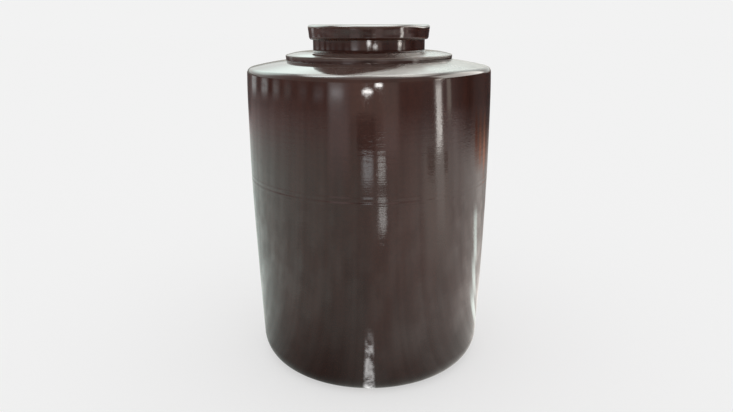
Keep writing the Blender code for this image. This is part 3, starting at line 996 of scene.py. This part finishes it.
# Patches of the mirrored floor, painted in this order. Columns: azimuth (centre, half width, soft
# edge) in degrees; "ramp" or "band" and its arguments, over the distance from the axis in metres;
# a colour to paint or a number to multiply by; and perhaps the strength of the paint.
FLOOR_PATCHES = (
    # painted shade: the mirrored floor darker close to the jar's foot, at the left and right of the front
    ((-42, 20, 34), "ramp", (0.34, 1.1, 1.0, 0.0), 0.72),
    ((-60, 32, 30), "ramp", (0.36, 0.72, 1.0, 0.0), 0.50),
    ((62, 36, 30), "ramp", (0.36, 0.60, 1.0, 0.0), 0.72),
    ((-95, 40, 30), "ramp", (1.5, 4.0), 0.84),
    ((92, 10, 10), "ramp", (4.0, 7.0), 0.50),
    ((128, 11, 12), "band", (2.7, 4.6, 0.6, 1.0), (0.84, 0.46, 0.34), 0.75),
    ((17.5, 4.0, 5.0), "ramp", (2.5, 3.6), (1.30, 1.10, 1.06), 0.8),
    # three warm streaks behind, at the right
    ((113, 0.8, 2.4), "band", (3.2, 5.2, 0.5, 1.2), (1.15, 0.50, 0.36)),
    ((122, 0.9, 2.4), "band", (2.8, 5.2, 0.5, 1.2), (1.60, 0.74, 0.50)),
    ((133, 1.4, 2.4), "band", (2.5, 5.2, 0.5, 1.2), (1.95, 1.00, 0.72)),
    ((152, 12, 22), "ramp", (0.4, 1.0), 0.55),
    ((124, 24, 22), "ramp", (2.4, 4.6), 0.26),
    ((-166, 20, 12), "ramp", (3.4, 6.0), 0.42),
    # brighter close in front, and a warm zone far in front
    ((4, 26, 30), "band", (0.455, 2.15, 0.095, 0.65), 1.26),
    ((4, 18, 6), "ramp", (4.2, 5.6), (1.02, 0.80, 0.72), 0.8),
    # a pale streak at the left of the front, brighter with distance
    ((-26, 6.0, 6.0), "ramp", (1.8, 3.6, 0.0, 0.8), (1.16, 1.04, 1.04)),
    ((-29, 2.5, 7.0), "ramp", (4.0, 11.0, 0.0, 0.9), (1.75, 1.72, 1.75)),
    ((-28, 1.5, 6.5), "band", (11.0, 20.0, 2.5, 6.0), (3.3, 3.3, 3.4)),
    # bright steps close by, at the right
    ((101, 2.0, 4.0), "band", (0.44, 0.62, 0.12, 0.15), (3.2, 3.5, 3.3), 0.85),
    ((108, 1.7, 4.0), "band", (0.62, 0.90, 0.12, 0.15), (3.2, 3.5, 3.3), 0.85),
    ((113, 1.5, 4.0), "band", (0.90, 1.55, 0.12, 0.15), (3.2, 3.5, 3.3), 0.85),
    # the window's long glow
    ((60, 8, 10), "band", (1.1, 3.4, 0.4, 0.8), (1.65, 1.52, 1.40)),
    ((45, 12, 8), "ramp", (3.2, 5.5), 0.70),
    ((63.2, 2.6, 3.2), "ramp", (1.0, 2.2, 0.0, 0.55), (2.7, 2.55, 2.4)),
)
# a thinner glow beside the window's streak, then dim gaps
STREAK_SIDES = (
    ((74.5, 1.1, 2.2), "ramp", (4.2, 7.0), (2.0, 1.8, 1.6)),
    ((54, 2.0, 3.0), "band", (2.6, 3.4, 0.3, 0.3), 0.45),
    ((70, 1.0, 2.0), "band", (2.7, 3.3, 0.2, 0.2), 0.5),
)
# a row of far windows at the left: azimuth, half width, colour
FAR_WINDOWS = (
    (-108, 2.1, (1.7, 1.8, 1.8)), (-130, 2.4, (1.3, 1.35, 1.35)), (-91, 1.68, (1.2, 1.25, 1.25)),
    (-77, 1.2, (0.66, 0.67, 0.67)), (-60, 0.72, (0.60, 0.60, 0.62)), (-45, 1.8, (0.92, 0.92, 0.95)),
)
# the gaps between them: azimuth, factor
FAR_GAPS = ((-119, 0.45), (-99, 0.35), (-84, 0.60), (-69, 0.72), (-52, 0.70))


class Room:
    """A colour painted with soft shapes in azimuth and in a second coordinate, the reach:
    the elevation in the sky, or the distance along the floor."""

    def __init__(self, graph, x, y, reach):
        self.azimuth = graph.math("ARCTAN2", x, y * -1.0) * (180 / math.pi)
        self.reach = reach
        self.graph = graph

    def sector(self, centre, half, soft):
        """1 within half degrees of the centre, falling to 0 over soft degrees. It wraps."""
        turn = self.graph.math("WRAP", self.azimuth - centre, 180.0, -180.0)
        return abs(turn).fall(half, half + soft)

    def wave(self, count, phase):
        """A cosine with this many periods in a full turn."""
        return self.graph.math("COSINE", (self.azimuth - phase) * (count * math.pi / 180))

    def scale(self, mask, factor):
        """Multiplies the colour by factor where the mask is 1."""
        self.colour = self.colour.scaled(1.0 - mask * (1.0 - factor))

    def paint(self, mask, colour):
        self.colour = mask.mix(self.colour, colour)

    def lay(self, patches):
        """Lays patches in the form of FLOOR_PATCHES. A strength may also be a texture."""
        for sector, shape, reach, tone, *strengths in patches:
            mask = self.sector(*sector) * getattr(self.reach, shape)(*reach)
            for strength in strengths:
                mask = mask * strength
            if isinstance(tone, tuple):
                self.paint(mask, tone)
            else:
                self.scale(mask, tone)


def build_world():
    """Plain and pale to the camera, and a soft studio to the glaze."""
    world = bpy.data.worlds.new("studio")
    bpy.context.scene.world = world
    graph = Graph(world)
    camera_ray, glossy_ray = graph.outputs("ShaderNodeLightPath", "Is Camera Ray", "Is Glossy Ray")
    x, y, z = graph.axes(graph.coordinates("Generated"))
    room = Room(graph, x, y, reach=graph.math("ARCSINE", z) * (180 / math.pi))
    # walls: dim in front, pale behind
    room.colour = y.ramp(-0.5, 0.4).mix((0.62, 0.56, 0.52), (1.12, 1.16, 1.12))
    for elevation, sector, colour in SKY:
        mask = room.reach.band(*elevation)
        if sector:
            mask = mask * room.sector(*sector)
        room.paint(mask, colour)
    # matt surfaces get a plain light, stronger from above
    soft = z.ramp(0.0, 0.9).mix((0.42, 0.42, 0.42), (1.0, 1.0, 1.0))
    colour = glossy_ray.mix(camera_ray.mix(soft, PALE), room.colour)
    background = graph.value("ShaderNodeBackground", {"Color": colour})
    graph.node("ShaderNodeOutputWorld", {"Surface": background})
    world.cycles.sampling_method = "NONE"


def sheet(name, vertices, faces):
    mesh = bpy.data.meshes.new(name)
    mesh.from_pydata(vertices, [], faces)
    return link(name, mesh)


def give_unsampled_material(piece, graph_owner, graph, surface):
    """Puts the surface on the piece and keeps it from being sampled as a lamp."""
    graph.node("ShaderNodeOutputMaterial", {"Surface": surface})
    graph_owner.cycles.emission_sampling = "NONE"
    piece.data.materials.append(graph_owner)


def floor_reflection(graph, x, y, position, distance):
    """The floor as the glaze mirrors it, with soft pools of light."""
    room = Room(graph, x, y, reach=distance)

    # pale at both sides, duller in front, and dimmer far off
    level = 1.12 + room.wave(1, 90) * 0.15
    level = level - room.wave(2, 0) * 0.40
    level = level * distance.ramp(2.8, 6.8, 1.0, 0.44)
    tint = x.ramp(-0.9, 0.9).mix((0.90, 1.0, 0.945), (1.05, 0.975, 0.92))
    tint = distance.ramp(2.4, 5.5).mix(tint, (1.10, 0.93, 0.92))
    room.colour = tint.scaled(level)
    # rays that change only with azimuth, then blotches
    rays = graph.value("ShaderNodeCombineXYZ", {0: room.azimuth * 0.13})
    room.scale(rays.noise(scale=1.0, detail=4, rough=0.6).ramp(0.36, 0.62), 0.84)
    blotches = position.noise(scale=3.4, detail=3, rough=0.6).ramp(0.36, 0.60)
    room.scale(blotches * distance.ramp(1.2, 2.6, 1.0, 0.35), 0.76)
    room.lay(FLOOR_PATCHES)

    # the window's bright, uneven streak
    uneven = position.noise(scale=2.1, detail=4, rough=0.65).ramp(0.40, 0.60, 0.42, 1.0)
    streak = distance.ramp(2.9, 4.0) * distance.ramp(16.0, 22.0, 1.0, 0.15)
    room.paint(room.sector(63.2, 1.3, 2.7) * streak * uneven, (12.0, 11.6, 11.0))
    room.lay(STREAK_SIDES)

    veil = position.noise(scale=0.34, detail=3, rough=0.6).ramp(0.34, 0.58, 0.45, 1.0)
    room.lay([((centre, half, 5.6), "band", (9.0, 20.0, 2.4, 8.0), colour, veil)
              for centre, half, colour in FAR_WINDOWS])
    room.lay([((centre, 1.0, 5.4), "ramp", (7.0, 11.0), factor) for centre, factor in FAR_GAPS])

    # a dull patch and pools of light in front, and one soft light behind
    rippled = position.noise(scale=12.0, detail=3, rough=0.65).ramp(0.40, 0.60, 0.15, 1.0)
    gentle = position.noise(scale=7.0, detail=2, rough=0.5).ramp(0.36, 0.62, 0.45, 1.0)
    broken = position.noise(scale=26.0, detail=3, rough=0.6).ramp(0.36, 0.62)
    room.lay((
        ((-2.8, 6.2, 2.6), "band", (3.25, 5.3, 0.22, 0.5), (0.26, 0.28, 0.28)),
        ((-1.8, 2.0, 4.0), "band", (2.28, 3.05, 0.22, 0.25), (3.3, 3.6, 3.7), gentle),
        ((9.9, 1.4, 3.2), "band", (2.32, 3.05, 0.15, 0.30), (7.0, 7.1, 6.9), rippled),
        ((10.0, 1.5, 3.2), "band", (1.46, 1.92, 0.10, 0.14), (7.4, 7.4, 7.2), rippled),
        ((-0.6, 1.5, 2.2), "band", (0.30, 0.56, 0.10, 0.07), (9.0, 9.0, 9.0), broken),
        ((176, 2.0, 3.4), "band", (1.5, 3.9, 0.5, 0.9), (3.2, 3.2, 3.1)),
    ))
    return room.colour


def build_floor():
    """A wide pale floor, clear from below."""
    columns = 128
    angles = [TAU * j / columns for j in range(columns)]
    vertices = [(radius * math.cos(angle), radius * math.sin(angle), -FLOOR_Z_DROP)
                for radius in FLOOR_RADII for angle in angles]
    faces = []
    for i in range(len(FLOOR_RADII) - 1):
        row, outer_row = i * columns, (i + 1) * columns
        for j in range(columns):
            k = (j + 1) % columns
            faces.append((row + j, outer_row + j, outer_row + k, row + k))
    piece = sheet("studio_floor", vertices, faces)

    material = bpy.data.materials.new("studio_floor")
    graph = Graph(material)
    camera_ray, glossy_ray = graph.outputs("ShaderNodeLightPath", "Is Camera Ray", "Is Glossy Ray")
    position, backfacing = graph.outputs("ShaderNodeNewGeometry", "Position", "Backfacing")
    x, y, _ = graph.axes(position)
    distance = graph.math("SQRT", x * x + y * y)
    mirrored = graph.emission(Color=floor_reflection(graph, x, y, position, distance))
    # to matt surfaces: a plain bounce, darker close under the jar
    bounce = graph.emission(Color=(0.95, 1.0, 0.97), Strength=distance.ramp(0.32, 2.2, 0.04, 1.15))
    # to the camera: plain and pale, with a light contact shadow
    diffuse = graph.value("ShaderNodeBsdfDiffuse", {"Color": (0.96, 0.96, 0.96)})
    plain = graph.emission(Color=[channel * FLOOR_GLOW for channel in PALE])
    seen = graph.mix_shader(0.42, plain, diffuse)
    other = graph.mix_shader(glossy_ray, bounce, mirrored)
    front = graph.mix_shader(camera_ray, other, seen)
    clear = graph.value("ShaderNodeBsdfTransparent")
    surface = graph.mix_shader(backfacing, front, clear)
    give_unsampled_material(piece, material, graph, surface)


def soft_lamp(name, azimuth, height, width, tall, colour, strength, hood):
    """A small wide lamp with a soft edge, seen in reflections only.

    It is hooded: it shows only to what lies at a slope between hood[0] and hood[1] above it.
    """
    angle = math.radians(azimuth)
    centre = Vector((math.sin(angle) * LAMP_DISTANCE, -math.cos(angle) * LAMP_DISTANCE, height))
    side = Vector((math.cos(angle), math.sin(angle), 0)) * (width / 2)
    up = Vector((0, 0, tall / 2))
    corners = ((-1, -1), (1, -1), (1, 1), (-1, 1))
    vertices = [tuple(centre + side * across + up * upward) for across, upward in corners]
    piece = sheet(name, vertices, [(0, 1, 2, 3)])
    uv_map = piece.data.uv_layers.new(name="UVMap")
    for i, corner in enumerate(corners):
        uv_map.data[i].uv = corner

    material = bpy.data.materials.new(name)
    graph = Graph(material)
    glow = graph.emission(Color=colour, Strength=strength)
    clear = graph.value("ShaderNodeBsdfTransparent")
    from_centre = graph.value("ShaderNodeVectorMath", {0: graph.coordinates("UV")},
                              output="Value", operation="LENGTH")
    slope = graph.axes(graph.value("ShaderNodeNewGeometry", output="Incoming"))[2]
    soft = 0.002
    shown = slope.band(hood[0], hood[1], soft, soft)
    surface = graph.mix_shader(from_centre.fall(0.35, 1.0) * shown, clear, glow)
    give_unsampled_material(piece, material, graph, surface)

    piece.visible_camera = False
    piece.visible_diffuse = False
    piece.visible_shadow = False
    piece.visible_transmission = False
    piece.visible_volume_scatter = False


def build_camera():
    """In front of the jar and a little above it, looking slightly down."""
    data = bpy.data.cameras.new("camera")
    camera = link("camera", data)
    data.sensor_fit = "HORIZONTAL"
    data.sensor_width = 36.0
    data.lens = 29.3594
    data.shift_x = -0.0039563438
    data.shift_y = -0.055934516
    data.clip_start = 0.05
    data.clip_end = 200.0
    tilt, roll = 0.22918, -0.004123     # radians
    camera.location = (0.0, -1.7159, 0.9468)
    look = Matrix.Rotation(math.pi / 2 - tilt, 4, "X") @ Matrix.Rotation(roll, 4, "Z")
    camera.rotation_mode = "QUATERNION"
    camera.rotation_quaternion = look.to_quaternion()
    bpy.context.scene.camera = camera


# ------------------------------------------------------------------ put it together
jar = build_jar()
lid = build_lid()
ring = build_ring()
left = build_weight("weight_left", side=-1, seed=71)
right = build_weight("weight_right", side=1, seed=72)

jar_colours = (DEEP, WARM, THIN, CLAY)
weight_colours = (WEIGHT_DEEP, WEIGHT_WARM, WEIGHT_THIN, CLAY)
jar.data.materials.append(glaze("glaze_jar", *jar_colours))
lid.data.materials.append(glaze("glaze_lid", *jar_colours, offset=(5.3, 2.2, 1.1)))
ring.data.materials.append(silicone("silicone_seal"))
left.data.materials.append(
    glaze("glaze_weight_left", *weight_colours, rough=0.20, offset=(1.3, 7.2, 4.1)))
right.data.materials.append(
    glaze("glaze_weight_right", *weight_colours, rough=0.20, offset=(8.3, 3.2, 2.6)))

# piece, the body it rides on, the CAD node it replaces, its material slot
for piece, body, node, slot in (
    (jar, "jar", "crock_body", "jar_glaze"),
    (lid, "lid_set", "lid", "lid_glaze"),
    (ring, "lid_set", "lid_seal_ring", "seal_silicone"),
    (left, "left_weight", "weight_left", "weight_glaze"),
    (right, "right_weight", "weight_right", "weight_glaze"),
):
    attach(piece, body)
    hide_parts(node)

build_world()
build_floor()
for lamp in LAMPS:
    soft_lamp(*lamp)
build_camera()
view = bpy.context.scene.view_settings
view.view_transform = "Standard"
view.look = "None"
view.exposure = 0.0
view.gamma = 1.0
